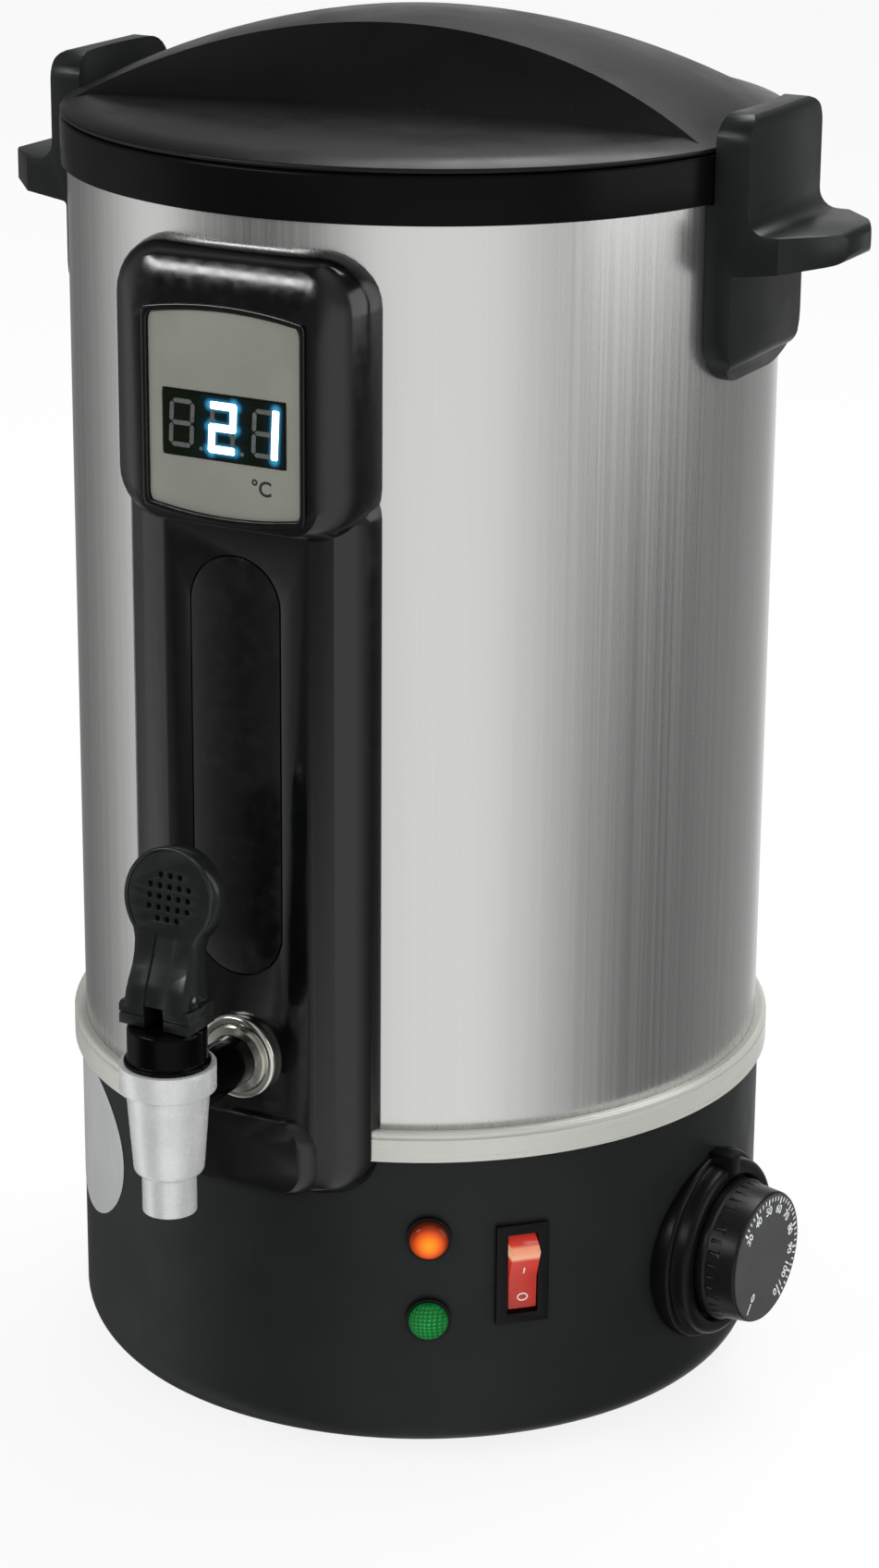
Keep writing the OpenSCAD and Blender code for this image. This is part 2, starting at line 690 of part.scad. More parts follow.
module knob_bezel() {
    floor_z = bezel_face - base_r + 8.6;
    ring_in = knob_r + 2.2;
    ring_out = ring_in + 4.9;
    color("#1a1b1d") difference() {
        on_wall(knob_az, knob_z) translate([0, 0, base_r - 8]) {
            rotate_extrude() polygon(concat(
                [[0, 0], [bezel_r, 0]],
                arc(bezel_r - 1.2, floor_z - 3.2, 1.2, 0, 90, 4),
                [[ring_out + 0.3, floor_z - 2]],
                arc(ring_out - 2.4, floor_z + 0.9, 2.4, 0, 90, 6),
                [[ring_in + 0.8, floor_z + 3.3], [ring_in, floor_z + 2.4], [ring_in, floor_z], [0, floor_z]]));
            translate([-2.6, ring_out - 3, 0]) cube([5.2, bezel_r - ring_out + 4.4, floor_z + 4]);
        }
        cylinder(r = base_r + seat_gap, h = 200);
        on_wall(knob_az, knob_z) cylinder(r = 5.4, h = base_r + 40);
    }
}

module thermostat_shaft() {
    color("#c2c4c6") on_wall(knob_az, knob_z) translate([0, 0, base_r - 20])
        difference() {
            cylinder(r = shaft_r, h = knob_face - base_r + 12);
            translate([1.6, -5, knob_back - base_r + 21]) cube([5, 10, 20]);
        }
}

module thermostat_knob() {
    skirt_r = knob_r + 1.6;
    flutes = 36;
    color("#2a2c2e") on_wall(knob_az, knob_z) difference() {
        translate([0, 0, knob_back]) rotate_extrude() polygon(concat(
            [[0, 0], [skirt_r, 0], [skirt_r, 2.4], [knob_r + 0.9, 3]],
            arc(knob_r - 1, knob_face - knob_back - 1, 1, 0, 90, 4),
            [[0, knob_face - knob_back]]));
        translate([0, 0, base_r - 20]) difference() {
            cylinder(r = shaft_r + seat_gap, h = knob_face - base_r + 12.1);
            translate([1.6 + seat_gap, -5, knob_back - base_r + 21]) cube([5, 10, 20]);
        }
        for (i = [0:flutes - 1]) rotate([0, 0, i * 360 / flutes])
            translate([knob_r + 1.2, 0, knob_back + 3.4]) cylinder(r = 0.75, h = 20, $fn = 16);
    }
}

// ---------- handles ----------

// One handle, on the +X side
module handle() {
    root = jacket_r + handle_t;
    low = jacket_r + 5;
    tip = jacket_r + ledge_reach;
    ledge_top = jacket_top - 10.5;
    color("#2b2d2f") difference() {
        union() {
            intersection() {
                rotate([90, 0, 0]) linear_extrude(handle_w, center = true) polygon(concat(
                    [[jacket_r - 9, handle_z0], [jacket_r + 1.5, handle_z0]],
                    arc(low - 4, handle_z0 + 8, 4, -60, 0, 5),
                    arc(low + 1.5, ledge_top - 13.6, 1.5, 180, 95, 4),
                    arc(tip - 3, ledge_top - 5.6, 3, -80, 0, 5),
                    arc(tip - 2.5, ledge_top - 2.5, 2.5, 0, 90, 5),
                    arc(root + 5.5, ledge_top + 5.5, 5.5, -90, -180, 6),
                    arc(root - 3, handle_z1 - 3, 3, 0, 90, 4),
                    [[jacket_r - 9, handle_z1]]));
                rotate([90, 0, 90]) linear_extrude(300, center = true) polygon(concat(
                    arc(-handle_w / 2 + 14, handle_z0 + 14, 14, 180, 270, 7),
                    arc(handle_w / 2 - 14, handle_z0 + 14, 14, 270, 360, 7),
                    arc(handle_w / 2 - 8, handle_z1 - 8, 8, 0, 90, 6),
                    arc(-handle_w / 2 + 8, handle_z1 - 8, 8, 90, 180, 6)));
                translate([0, 0, handle_z0 - 5]) linear_extrude(120) polygon([
                    [0, -handle_w / 2], [tip - 14, -handle_w / 2], [tip - 4, 10 - handle_w / 2],
                    [tip, 17 - handle_w / 2], [tip, handle_w / 2 - 17], [tip - 4, handle_w / 2 - 10],
                    [tip - 14, handle_w / 2], [0, handle_w / 2]]);
            }
        }
        cylinder(r = jacket_r + seat_gap, h = collar_z0);
        translate([0, 0, collar_z0 - 0.4]) cylinder(r = collar_r + 0.5, h = 60);
        for (z = handle_screw_z) on_wall(90, z) cylinder(r = 1.9, h = jacket_r + 3.2);
    }
}

module handle_right() {
    handle();
}

module handle_left() {
    mirror([1, 0, 0]) handle();
}

module handle_screws() {
    color("#b9bcbe") for (a = [90, 270], z = handle_screw_z)
        on_wall(a, z) translate([0, 0, jacket_in - 2.1]) pan_screw(3.6, 2, 1.85, 3.4);
}

// ---------- lid ----------
lid_r = collar_r - 0.1;
dome_rim = lid_r - 3.4;
dome_deep = dome_rise + 1.4;
dome_sphere = (dome_rim * dome_rim + dome_deep * dome_deep) / (2 * dome_deep);
scoop_reach = 0.8 * lid_r;
scoop_r = (scoop_reach * scoop_reach + grip_flare * grip_flare) / (2 * grip_flare);

skirt_r = collar_in - move_gap - 0.2;
lid_screw_r = 78;

// The arched grip between the two scoops; inset is the lid's wall for its hollow
module grip_form(inset, rim_r, z0) {
    rotate([0, 0, grip_turn]) difference() {
        intersection() {
            translate([0, 0, lid_floor + dome_rise - dome_sphere]) sphere(dome_sphere - inset, $fn = 128);
            translate([0, 0, z0]) cylinder(r = rim_r, h = dome_rise + 20);
        }
        for (s = [-1, 1]) translate([0, s * (grip_half + scoop_r), z0 - 10])
            cylinder(r = scoop_r + inset, h = 100, $fn = 160);
    }
}

module lid_shell() {
    color("#26282a") difference() {
        union() {
            rotate_extrude() polygon(concat(
                [[0, lid_floor - lid_wall], [skirt_r - 2, lid_floor - lid_wall], [skirt_r - 2, lid_z0 - 5]],
                [[skirt_r, lid_z0 - 5], [skirt_r, lid_z0], [lid_r - 0.6, lid_z0]],
                arc(lid_r - 0.8, lid_z0 + 0.8, 0.8, -40, 70, 4),
                [[lid_r - 8, lid_floor], [0, lid_floor]]));
            grip_form(0, dome_rim, lid_floor - 1.9);
            for (a = [30, 150, 270]) rotate([0, 0, a + grip_turn]) translate([lid_screw_r, 0, lid_z0 - 6.95])
                cylinder(r = 4.6, h = 9);
        }
        grip_form(lid_wall, skirt_r - 2.4, lid_floor - 6);
        for (a = [30, 150, 270]) rotate([0, 0, a + grip_turn]) translate([lid_screw_r, 0, lid_z0 - 9])
            cylinder(r = 2 + seat_gap, h = 10);
    }
}

module lid_liner() {
    liner_r = collar_in - move_gap - 2.8;
    color("#c9cbcc") translate([0, 0, lid_z0 - 8]) difference() {
        cylinder(r = liner_r, h = 5.4);
        translate([0, 0, 1]) cylinder(r = liner_r - 1, h = 8);
        for (a = [30, 150, 270]) rotate([0, 0, a + grip_turn]) translate([lid_screw_r, 0, -eps]) cylinder(r = 2.1, h = 3);
    }
}

module lid_gasket() {
    color("#bfb9ae") translate([0, 0, lid_z0 - 7.8])
        tube(collar_in - move_gap - 0.4, collar_in - move_gap - 2.7, 2.7);
}

module lid_screws() {
    color("#b9bcbe") for (a = [30, 150, 270]) rotate([0, 0, a + grip_turn])
        translate([lid_screw_r, 0, lid_z0 - 10.05]) pan_screw(4, 2, 2, 9);
}

foot_ring();
base_plate();
base_shell();
tie_nut();
cord_gland();
terminal_block();
trim_ring();
outer_jacket();
inner_pot();
rim_collar();
heater_plate();
heater_element();
heater_bridge();
thermal_cutout();
thermostat_body();
thermostat_bulb();
temperature_probe();
fascia_cover();
fascia_screws();
sight_panel();
display_frame();
display_plate();
display_window();
display_board();
tap_shank();
tap_washer();
tap_spacer();
tap_seal();
tap_nut();
tap_bowl();
tap_bonnet();
tap_spring();
tap_stem();
tap_pin();
tap_seat_cup();
tap_lever();
switch_housing();
switch_rocker();
lamp_holders();
lamp_amber();
lamp_green();
knob_bezel();
thermostat_shaft();
thermostat_knob();
handle_left();
handle_right();
handle_screws();
lid_shell();
lid_liner();
lid_gasket();
lid_screws();
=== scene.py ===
"""Looks of the candle wax melter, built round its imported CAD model. Metres, +Z up, front towards -Y."""
import json
import math

import bpy
from mathutils import Matrix, Vector


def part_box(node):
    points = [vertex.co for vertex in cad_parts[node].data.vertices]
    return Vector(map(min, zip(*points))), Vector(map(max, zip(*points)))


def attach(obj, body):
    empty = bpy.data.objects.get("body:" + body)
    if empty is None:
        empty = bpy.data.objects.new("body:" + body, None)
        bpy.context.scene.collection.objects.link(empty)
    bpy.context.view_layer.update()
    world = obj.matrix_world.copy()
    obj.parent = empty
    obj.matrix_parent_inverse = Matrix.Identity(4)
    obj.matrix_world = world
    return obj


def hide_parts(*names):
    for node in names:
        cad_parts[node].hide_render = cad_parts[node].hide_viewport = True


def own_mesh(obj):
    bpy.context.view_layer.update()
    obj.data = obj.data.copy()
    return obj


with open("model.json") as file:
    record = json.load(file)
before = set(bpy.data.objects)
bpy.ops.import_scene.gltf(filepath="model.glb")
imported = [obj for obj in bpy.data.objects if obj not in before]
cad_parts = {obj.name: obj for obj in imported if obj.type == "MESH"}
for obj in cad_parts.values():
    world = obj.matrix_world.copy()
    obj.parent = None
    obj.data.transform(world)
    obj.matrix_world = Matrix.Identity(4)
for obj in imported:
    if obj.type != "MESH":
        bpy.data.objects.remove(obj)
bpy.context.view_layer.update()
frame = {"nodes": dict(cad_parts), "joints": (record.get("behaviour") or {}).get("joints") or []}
NODES = frame["nodes"]


# ---------- sizes taken from the frame ----------
JACKET_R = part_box("outer_jacket")[1].x
BASE_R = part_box("base_shell")[1].x
WINDOW_LOW, WINDOW_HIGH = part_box("display_window")
WINDOW_MID = (WINDOW_LOW + WINDOW_HIGH) / 2
WINDOW_SIZE = WINDOW_HIGH - WINDOW_LOW
JOINT_AT = {j["name"]: Vector(j["pos_m"]) for j in frame["joints"] if "pos_m" in j}
# Directions from the vessel's axis, in degrees from the front
SWITCH_AZ = 45
KNOB_AZ = 85.5
LAMP_AZ = 30


# ---------- places on the round wall ----------
def wall_matrix(azimuth, height, radius):
    """Local x is to the right as seen from outside, y is up, z is outward. Azimuth 0 is the front."""
    a = math.radians(azimuth)
    out = Vector((math.sin(a), -math.cos(a), 0))
    side = Vector((math.cos(a), math.sin(a), 0))
    turn = Matrix((side, (0, 0, 1), out)).transposed().to_4x4()
    return Matrix.Translation(out * radius + Vector((0, 0, height))) @ turn


# ---------- materials ----------
# Nearly all of a noise lies between these values
NOISE_LOW, NOISE_HIGH = 0.3, 0.7


class Shader:
    """One Principled material and short calls to build its node tree."""

    def __init__(self, name, colour, roughness, metallic=0.0):
        self.material = bpy.data.materials.new(name)
        self.material.use_nodes = True
        self.tree = self.material.node_tree
        self.base = self.tree.nodes["Principled BSDF"]
        self.coords = self.node("ShaderNodeTexCoord").outputs["Object"]
        self.set(Roughness=roughness, Metallic=metallic)
        self.base.inputs["Base Color"].default_value = (*colour, 1)
        self.colour = colour
        self.normal = None
        self.waves = None

    def node(self, kind, **inputs):
        """Adds a node; inputs are values or other nodes' sockets, with _ for a space in a name."""
        made = self.tree.nodes.new(kind)
        for key, value in inputs.items():
            socket = made.inputs[key.replace("_", " ")]
            if isinstance(value, bpy.types.NodeSocket):
                self.tree.links.new(value, socket)
            else:
                socket.default_value = value
        return made

    def link(self, source, socket):
        """Leads another node's socket into the Principled node."""
        self.tree.links.new(source, self.base.inputs[socket])

    def set(self, **values):
        """Sets constants on the Principled node."""
        for key, value in values.items():
            self.base.inputs[key.replace("_", " ")].default_value = value

    def stretched(self, scale):
        """The object's coordinates, scaled by three factors."""
        made = self.node("ShaderNodeMapping", Vector=self.coords)
        made.inputs["Scale"].default_value = scale
        return made.outputs["Vector"]

    def math(self, operation, a, b=0.0):
        """A Math node; a and b are numbers or sockets."""
        made = self.tree.nodes.new("ShaderNodeMath")
        made.operation = operation
        for socket, value in zip(made.inputs, (a, b)):
            if isinstance(value, bpy.types.NodeSocket):
                self.tree.links.new(value, socket)
            else:
                socket.default_value = value
        return made.outputs[0]

    def noise(self, scale, detail=3.0, vector=None):
        """Noise over the object's coordinates, or over vector."""
        made = self.node("ShaderNodeTexNoise", Vector=vector or self.coords, Scale=scale, Detail=detail)
        return made.outputs["Fac"]

    def ramp(self, fac, stops):
        """A colour ramp; each stop is (position, colour)."""
        made = self.node("ShaderNodeValToRGB", Fac=fac)
        ramp = made.color_ramp
        while len(ramp.elements) < len(stops):
            ramp.elements.new(0.5)
        for element, (at, colour) in zip(ramp.elements, stops):
            element.position = at
            element.color = (*colour, 1)
        return made.outputs["Color"]

    def span(self, noise, low, high):
        """Takes a noise to a value between low and high."""
        made = self.node("ShaderNodeMapRange", Value=noise)
        for key, value in (("From Min", NOISE_LOW), ("From Max", NOISE_HIGH), ("To Min", low), ("To Max", high)):
            made.inputs[key].default_value = value
        return made.outputs["Result"]

    def tones(self, noise, low, high):
        """Takes a noise to a colour between low and high."""
        return self.ramp(noise, [(NOISE_LOW, low), (NOISE_HIGH, high)])

    def mottle(self, scale, amount):
        """Varies the base colour up and down by amount, a share of 1."""
        low = [c * (1 - amount) for c in self.colour]
        high = [c * (1 + amount) for c in self.colour]
        self.link(self.tones(self.noise(scale, 4.0), low, high), "Base Color")
        return self

    def rough(self, scale, low, high):
        """Varies the roughness from low to high."""
        self.link(self.span(self.noise(scale, 4.0), low, high), "Roughness")
        return self

    def bump(self, fac, strength, distance):
        """Adds a bump on top of those already there."""
        made = self.node("ShaderNodeBump", Height=fac, Strength=strength, Distance=distance)
        if self.normal is not None:
            self.tree.links.new(self.normal, made.inputs["Normal"])
        self.normal = made.outputs["Normal"]
        self.link(self.normal, "Normal")
        return self

    def glow(self, colour_socket, strength):
        """Lets the surface shine in that colour."""
        self.link(colour_socket, "Emission Color")
        self.set(Emission_Strength=strength)
        return self

    def distance_to(self, point):
        """Distance from a point in the row frame, in metres."""
        moved = self.node("ShaderNodeVectorMath")
        moved.operation = "SUBTRACT"
        self.tree.links.new(self.coords, moved.inputs[0])
        moved.inputs[1].default_value = point
        length = self.node("ShaderNodeVectorMath")
        length.operation = "LENGTH"
        self.tree.links.new(moved.outputs[0], length.inputs[0])
        return length.outputs["Value"]


def moulded(name, grey, roughness, grain=1700.0, depth=0.00002, tint=(1.0, 1.03, 1.02), spec=0.5):
    """Moulded plastic with a fine spark-eroded grain, faint flow marks and handling polish."""
    made = Shader(name, [grey * t for t in tint], roughness)
    made.mottle(35.0, 0.12).rough(60.0, roughness - 0.05, roughness + 0.06)
    made.bump(made.noise(grain, 2.0), 0.35, depth)
    made.set(Specular_IOR_Level=spec)
    return made


def gloss(name, grey, roughness, tint=(1, 1, 1), spec=0.5):
    """Polished moulding: faint long ripples and light hairline wear in its roughness."""
    made = Shader(name, [grey * t for t in tint], roughness)
    made.mottle(20.0, 0.1).rough(220.0, roughness * 0.7, roughness * 1.6)
    made.bump(made.noise(18.0, 1.0), 0.05, 0.0003)
    made.set(Specular_IOR_Level=spec)
    return made


def brushed(name, grey, roughness, streaks, tint=(1, 1, 0.985), relief=0.05):
    """Brushed steel: streaks are the coordinate scales, small along the brushing."""
    made = Shader(name, [grey * t for t in tint], roughness, 1.0)
    lines = made.stretched(streaks)
    fine = made.noise(1.0, 6.0, lines)
    low, high = [grey * 0.97 * t for t in tint], [grey * 1.03 * t for t in tint]
    made.link(made.tones(fine, low, high), "Base Color")
    made.link(made.span(fine, roughness - 0.03, roughness + 0.04), "Roughness")
    made.bump(fine, relief, 0.00002)
    return made


def plain_metal(name, grey, roughness, tint=(1, 1, 1), relief=0.08):
    """Cast, plated or pressed metal with a fine even relief."""
    made = Shader(name, [grey * t for t in tint], roughness, 1.0)
    made.mottle(90.0, 0.06).rough(300.0, roughness * 0.75, roughness * 1.35)
    made.bump(made.noise(900.0, 3.0), relief, 0.00002)
    return made


def jacket_steel():
    """Vertically brushed jacket: fine streaks round the wall, long along Z, and a few broader ones."""
    made = brushed("jacket_steel", 0.74, 0.27, (900.0, 900.0, 3.0), relief=0.02)
    broad = made.noise(1.0, 2.0, made.stretched((60.0, 60.0, 0.6)))
    made.bump(broad, 0.008, 0.0001)
    return made


def lens(name, colour, roughness, grid=0.0):
    """A moulding in clear coloured plastic; grid is the pitch of its moulded prisms in metres."""
    made = Shader(name, colour, roughness)
    made.mottle(160.0, 0.15).rough(400.0, roughness * 0.8, roughness * 1.5)
    if grid:
        waves = []
        for axis in (0, 2):
            split = made.node("ShaderNodeSeparateXYZ", Vector=made.coords)
            wave = made.math("SINE", made.math("MULTIPLY", split.outputs[axis], 2 * math.pi / grid))
            waves.append(made.math("ABSOLUTE", wave))
        made.waves = made.math("MULTIPLY", *waves)
        made.bump(made.waves, 1.0, 0.0004)
    return made


def put(shader, *nodes):
    """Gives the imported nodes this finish."""
    for name in nodes:
        slots = NODES[name].data.materials
        slots.clear()
        slots.append(shader.material)


# ---------- mesh helpers ----------
WELD_GAP = 2e-6
SHARP_ANGLE = math.radians(32)


def edges(node, bevel):
    """Joins split corners, rounds sharp edges and shades curves smooth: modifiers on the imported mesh."""
    o = NODES[node]
    stored = o.data.attributes.get("custom_normal")
    if stored:
        o.data.attributes.remove(stored)
    for face in o.data.polygons:
        face.use_smooth = True
    o.modifiers.new("weld", "WELD").merge_threshold = WELD_GAP
    if bevel:
        made = o.modifiers.new("bevel", "BEVEL")
        made.limit_method = "ANGLE"
        made.angle_limit = SHARP_ANGLE
        made.width = bevel
        made.segments = 2
        made.use_clamp_overlap = True
    o.modifiers.new("split", "EDGE_SPLIT").split_angle = SHARP_ANGLE


def piece(name, points, faces, shader, body, matrix=None, slot=None, smooth=False):
    """One mesh that rides on a body; matrix takes its points to the row frame."""
    mesh = bpy.data.meshes.new(name)
    mesh.from_pydata([tuple(p) for p in points], [], faces)
    if matrix is not None:
        mesh.transform(matrix)
    mesh.validate()
    for face in mesh.polygons:
        face.use_smooth = smooth
    mesh.materials.append(shader.material)
    o = bpy.data.objects.new(name, mesh)
    bpy.context.scene.collection.objects.link(o)
    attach(o, body)
    return o


# The font size that gives digits and capitals a height of 1
FONT_SIZE_PER_HEIGHT = 1.43


def circle(radius, steps, middle=(0, 0)):
    """Points on a circle, as (x, y)."""
    turns = [2 * math.pi * k / steps for k in range(steps)]
    return [(middle[0] + radius * math.cos(t), middle[1] + radius * math.sin(t)) for t in turns]


def bar(half_width, half_length):
    """The corners of an upright bar, as (x, y)."""
    return [(-half_width, -half_length), (half_width, -half_length), (half_width, half_length),
            (-half_width, half_length)]


class Shapes:
    """Gathers flat raised shapes into one mesh."""

    def __init__(self):
        self.points, self.faces = [], []

    def prism(self, outline, low, high, place=Matrix()):
        """outline is a list of (x, y), anticlockwise; the top face is at high."""
        n, first = len(outline), len(self.points)
        for z in (low, high):
            self.points += [place @ Vector((x, y, z)) for x, y in outline]
        self.faces.append([first + n + i for i in range(n)])
        for i in range(n):
            j = (i + 1) % n
            self.faces.append([first + i, first + j, first + n + j, first + n + i])

    def ring(self, outer, inner, low, high, place, steps=32):
        """A flat ring: outer and inner are (half width, half height)."""
        first = len(self.points)
        loops = [(outer, low), (outer, high), (inner, high), (inner, low)]
        for (rx, ry), z in loops:
            for i in range(steps):
                a = 2 * math.pi * i / steps
                self.points.append(place @ Vector((rx * math.cos(a), ry * math.sin(a), z)))
        for k in range(3):
            for i in range(steps):
                j = (i + 1) % steps
                a, b = first + k * steps, first + (k + 1) * steps
                self.faces.append([a + i, a + j, b + j, b + i])

    def text(self, words, height, centre, turn=0.0, bold=0.0, high=0.00006):
        """Raised lettering in Blender's own font, centred, turned in degrees and thicker by bold."""
        curve = bpy.data.curves.new("lettering", "FONT")
        curve.body = words
        curve.size = height * FONT_SIZE_PER_HEIGHT
        curve.align_x, curve.align_y = "CENTER", "CENTER"
        curve.extrude = high / 2
        curve.offset = bold
        holder = bpy.data.objects.new("lettering", curve)
        mesh = bpy.data.meshes.new_from_object(holder)
        place = Matrix.Translation((*centre, high / 2)) @ Matrix.Rotation(math.radians(turn), 4, "Z")
        first = len(self.points)
        self.points += [place @ v.co for v in mesh.vertices]
        self.faces += [[first + i for i in face.vertices] for face in mesh.polygons]
        bpy.data.objects.remove(holder)
        bpy.data.curves.remove(curve)
        bpy.data.meshes.remove(mesh)

    def make(self, name, shader, body, matrix=None, slot=None):
        """Turns all that was gathered into one piece."""
        return piece(name, self.points, self.faces, shader, body, matrix, slot)


def reach(node, azimuth):
    """How far a node reaches from the axis in that direction."""
    a = math.radians(azimuth)
    out = Vector((math.sin(a), -math.cos(a), 0))
    return max(v.co.dot(out) for v in NODES[node].data.vertices)


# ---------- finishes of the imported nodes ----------
base_plastic = moulded("base_plastic", 0.012, 0.4, tint=(0.85, 1.08, 1.02), spec=0.2)
lid_plastic = moulded("lid_plastic", 0.006, 0.3, grain=1500.0, depth=0.00001, spec=0.2)
collar_plastic = moulded("collar_plastic", 0.0025, 0.25, grain=1200.0, spec=0.07)
handle_plastic = moulded("handle_plastic", 0.010, 0.32, grain=1300.0, tint=(0.9, 1.05, 1.05), spec=0.25)
knob_plastic = moulded("knob_plastic", 0.004, 0.35, grain=1500.0, spec=0.3)
fascia_gloss = gloss("fascia_gloss", 0.0025, 0.14, tint=(0.9, 1.05, 1.0), spec=0.6)
panel_gloss = gloss("panel_gloss", 0.004, 0.2, spec=0.4)
tap_black = moulded("tap_black", 0.001, 0.16, grain=1300.0, depth=0.00001, spec=0.08)
lever_black = moulded("lever_black", 0.010, 0.2, grain=1300.0, depth=0.00001, tint=(0.9, 1.08, 1.05))
# Near-black for the dimple bottoms: painted shade that makes the pits look deeper
pit_painted_shade = gloss("pit_painted_shade", 0.0008, 0.3, spec=0.05)
switch_black = moulded("switch_black", 0.0025, 0.35, spec=0.18)
rubber = moulded("rubber", 0.012, 0.75, grain=800.0, depth=0.00008, spec=0.3)
jacket = jacket_steel()
trim_silver = brushed("trim_silver", 0.60, 0.3, (30.0, 30.0, 1500.0), (1.0, 1.0, 0.93))
trim_silver.set(Metallic=0.3)
chrome = plain_metal("chrome", 0.68, 0.24, (0.98, 1.0, 0.995), relief=0.01)
chrome.set(Metallic=0.35)
nickel = plain_metal("nickel", 0.7, 0.16, (1.0, 0.99, 0.92))
pot_steel = brushed("pot_steel", 0.68, 0.32, (40.0, 40.0, 900.0))
pot_steel.set(Metallic=0.5)
pressed_steel = plain_metal("pressed_steel", 0.6, 0.35)
cast_metal = plain_metal("cast_metal", 0.5, 0.5)
oxide = plain_metal("oxide", 0.2, 0.6, (1.0, 0.95, 0.88))
copper = plain_metal("copper", 0.6, 0.3, (1.0, 0.55, 0.35))
silicone = moulded("silicone", 0.55, 0.6, grain=600.0, tint=(1.0, 0.93, 0.85))
ivory = moulded("ivory", 0.6, 0.5, grain=900.0, tint=(1.0, 0.97, 0.9))
phenolic = moulded("phenolic", 0.05, 0.45, grain=900.0, tint=(1.0, 0.85, 0.7))
board_green = gloss("board_green", 0.06, 0.3, (0.4, 1.8, 0.7))
window_black = gloss("window_black", 0.004, 0.12, (1.0, 1.1, 0.9), spec=0.2)

plate_grey = Shader("plate_grey", (0.205, 0.21, 0.178), 0.42)
plate_grey.mottle(50.0, 0.06).rough(300.0, 0.36, 0.5)
plate_grey.bump(plate_grey.noise(2500.0, 2.0), 0.2, 0.00001)

put(base_plastic, "base_shell", "cord_gland")
put(knob_plastic, "thermostat_knob")
put(lid_plastic, "lid_shell")
put(collar_plastic, "rim_collar")
put(handle_plastic, "handle_left", "handle_right")
put(fascia_gloss, "fascia_cover", "display_frame")
put(panel_gloss, "sight_panel")
put(tap_black, "tap_bonnet", "tap_shank", "tap_stem")
put(lever_black, "tap_lever")
put(switch_black, "switch_housing", "lamp_holders", "knob_bezel")
put(rubber, "foot_ring")
put(jacket, "outer_jacket")
put(trim_silver, "trim_ring")
put(chrome, "tap_bowl")
put(nickel, "tap_washer", "tap_pin")
put(pot_steel, "inner_pot", "lid_liner")
put(pressed_steel, "base_plate", "heater_bridge", "tie_nut", "tap_spacer", "tap_nut", "tap_spring",
    "temperature_probe", "fascia_screws", "handle_screws", "lid_screws", "thermostat_shaft")
put(cast_metal, "heater_plate")
put(oxide, "heater_element")
put(copper, "thermostat_bulb")
put(silicone, "tap_seal", "lid_gasket", "tap_seat_cup")
put(ivory, "terminal_block", "thermostat_body")
put(phenolic, "thermal_cutout")
put(plate_grey, "display_plate")
put(window_black, "display_window")
put(board_green, "display_board")

# Widths of the rounded edges, in metres; the other nodes keep sharp edges
BEVELS = {"fascia_cover": 0.0006, "display_frame": 0.0003, "display_plate": 0.0002, "display_window": 0.0002,
          "sight_panel": 0.0003, "handle_left": 0.0008, "handle_right": 0.0008, "tap_lever": 0.0009,
          "tap_bonnet": 0.0003, "tap_bowl": 0.0003, "switch_housing": 0.0003, "switch_rocker": 0.0004,
          "knob_bezel": 0.0004}
for name in NODES:
    edges(name, BEVELS.get(name, 0))

# ---------- display ----------
# Places on the display are in metres from the middle of the window, x to the right and y up
DIGIT_H = WINDOW_SIZE.z * 0.76
DIGIT_W = DIGIT_H * 0.6
DIGIT_X = [-0.0134, -0.0003, 0.0131]
DIGIT_LEAN = 0.045
DIGITS = ["", "2", "1"]
BAR = 0.0019
DOT_R = 0.0006
# Where a digit's dot sits, as shares of its width and height
DOT_AT = (0.72, -0.46)
# A bar's width as a share of BAR, how pointed its ends are, and how far it stops short of the corners
LIT, UNLIT = (1.15, 0.3, -0.42), (0.7, 1.0, 0.12)
# Heights over the window's face: the glowing ground, and the bars' backs and fronts
GROUND_AT, BARS_AT, UNLIT_FRONT, LIT_FRONT = 0.00004, 0.00006, 0.0001, 0.00012
SEGMENTS = {"a": ((0, 2), (1, 2)), "b": ((1, 2), (1, 1)), "c": ((1, 1), (1, 0)), "d": ((0, 0), (1, 0)),
            "e": ((0, 1), (0, 0)), "f": ((0, 2), (0, 1)), "g": ((0, 1), (1, 1))}
SHOWN = {"2": "abged", "1": "bc", "": ""}


def segment_ends(digit_x, key, short):
    """The two ends of a digit's bar; short is a share of BAR."""
    ends = []
    for across, up in SEGMENTS[key]:
        x, y = (across - 0.5) * (DIGIT_W - BAR), (up - 1) * (DIGIT_H - BAR) / 2
        ends.append(Vector((digit_x + x + DIGIT_LEAN * y, y)))
    along = (ends[1] - ends[0]).normalized()
    return ends[0] + along * BAR * short, ends[1] - along * BAR * short


def bar_outline(a, b, width, point):
    """A bar between two points, its ends pointed (1) to square (0)."""
    along = (b - a).normalized()
    side = Vector((-along.y, along.x)) * width / 2
    tip = along * width * point / 2
    flat = side * (1 - point)
    corners = [a + flat, a - flat, a + tip - side, b - tip - side,
               b - flat, b + flat, b - tip + side, a + tip + side]
    if point == 1.0:
        corners = [corners[k] for k in (0, 2, 3, 4, 6, 7)]
    return [(p.x, p.y) for p in corners]


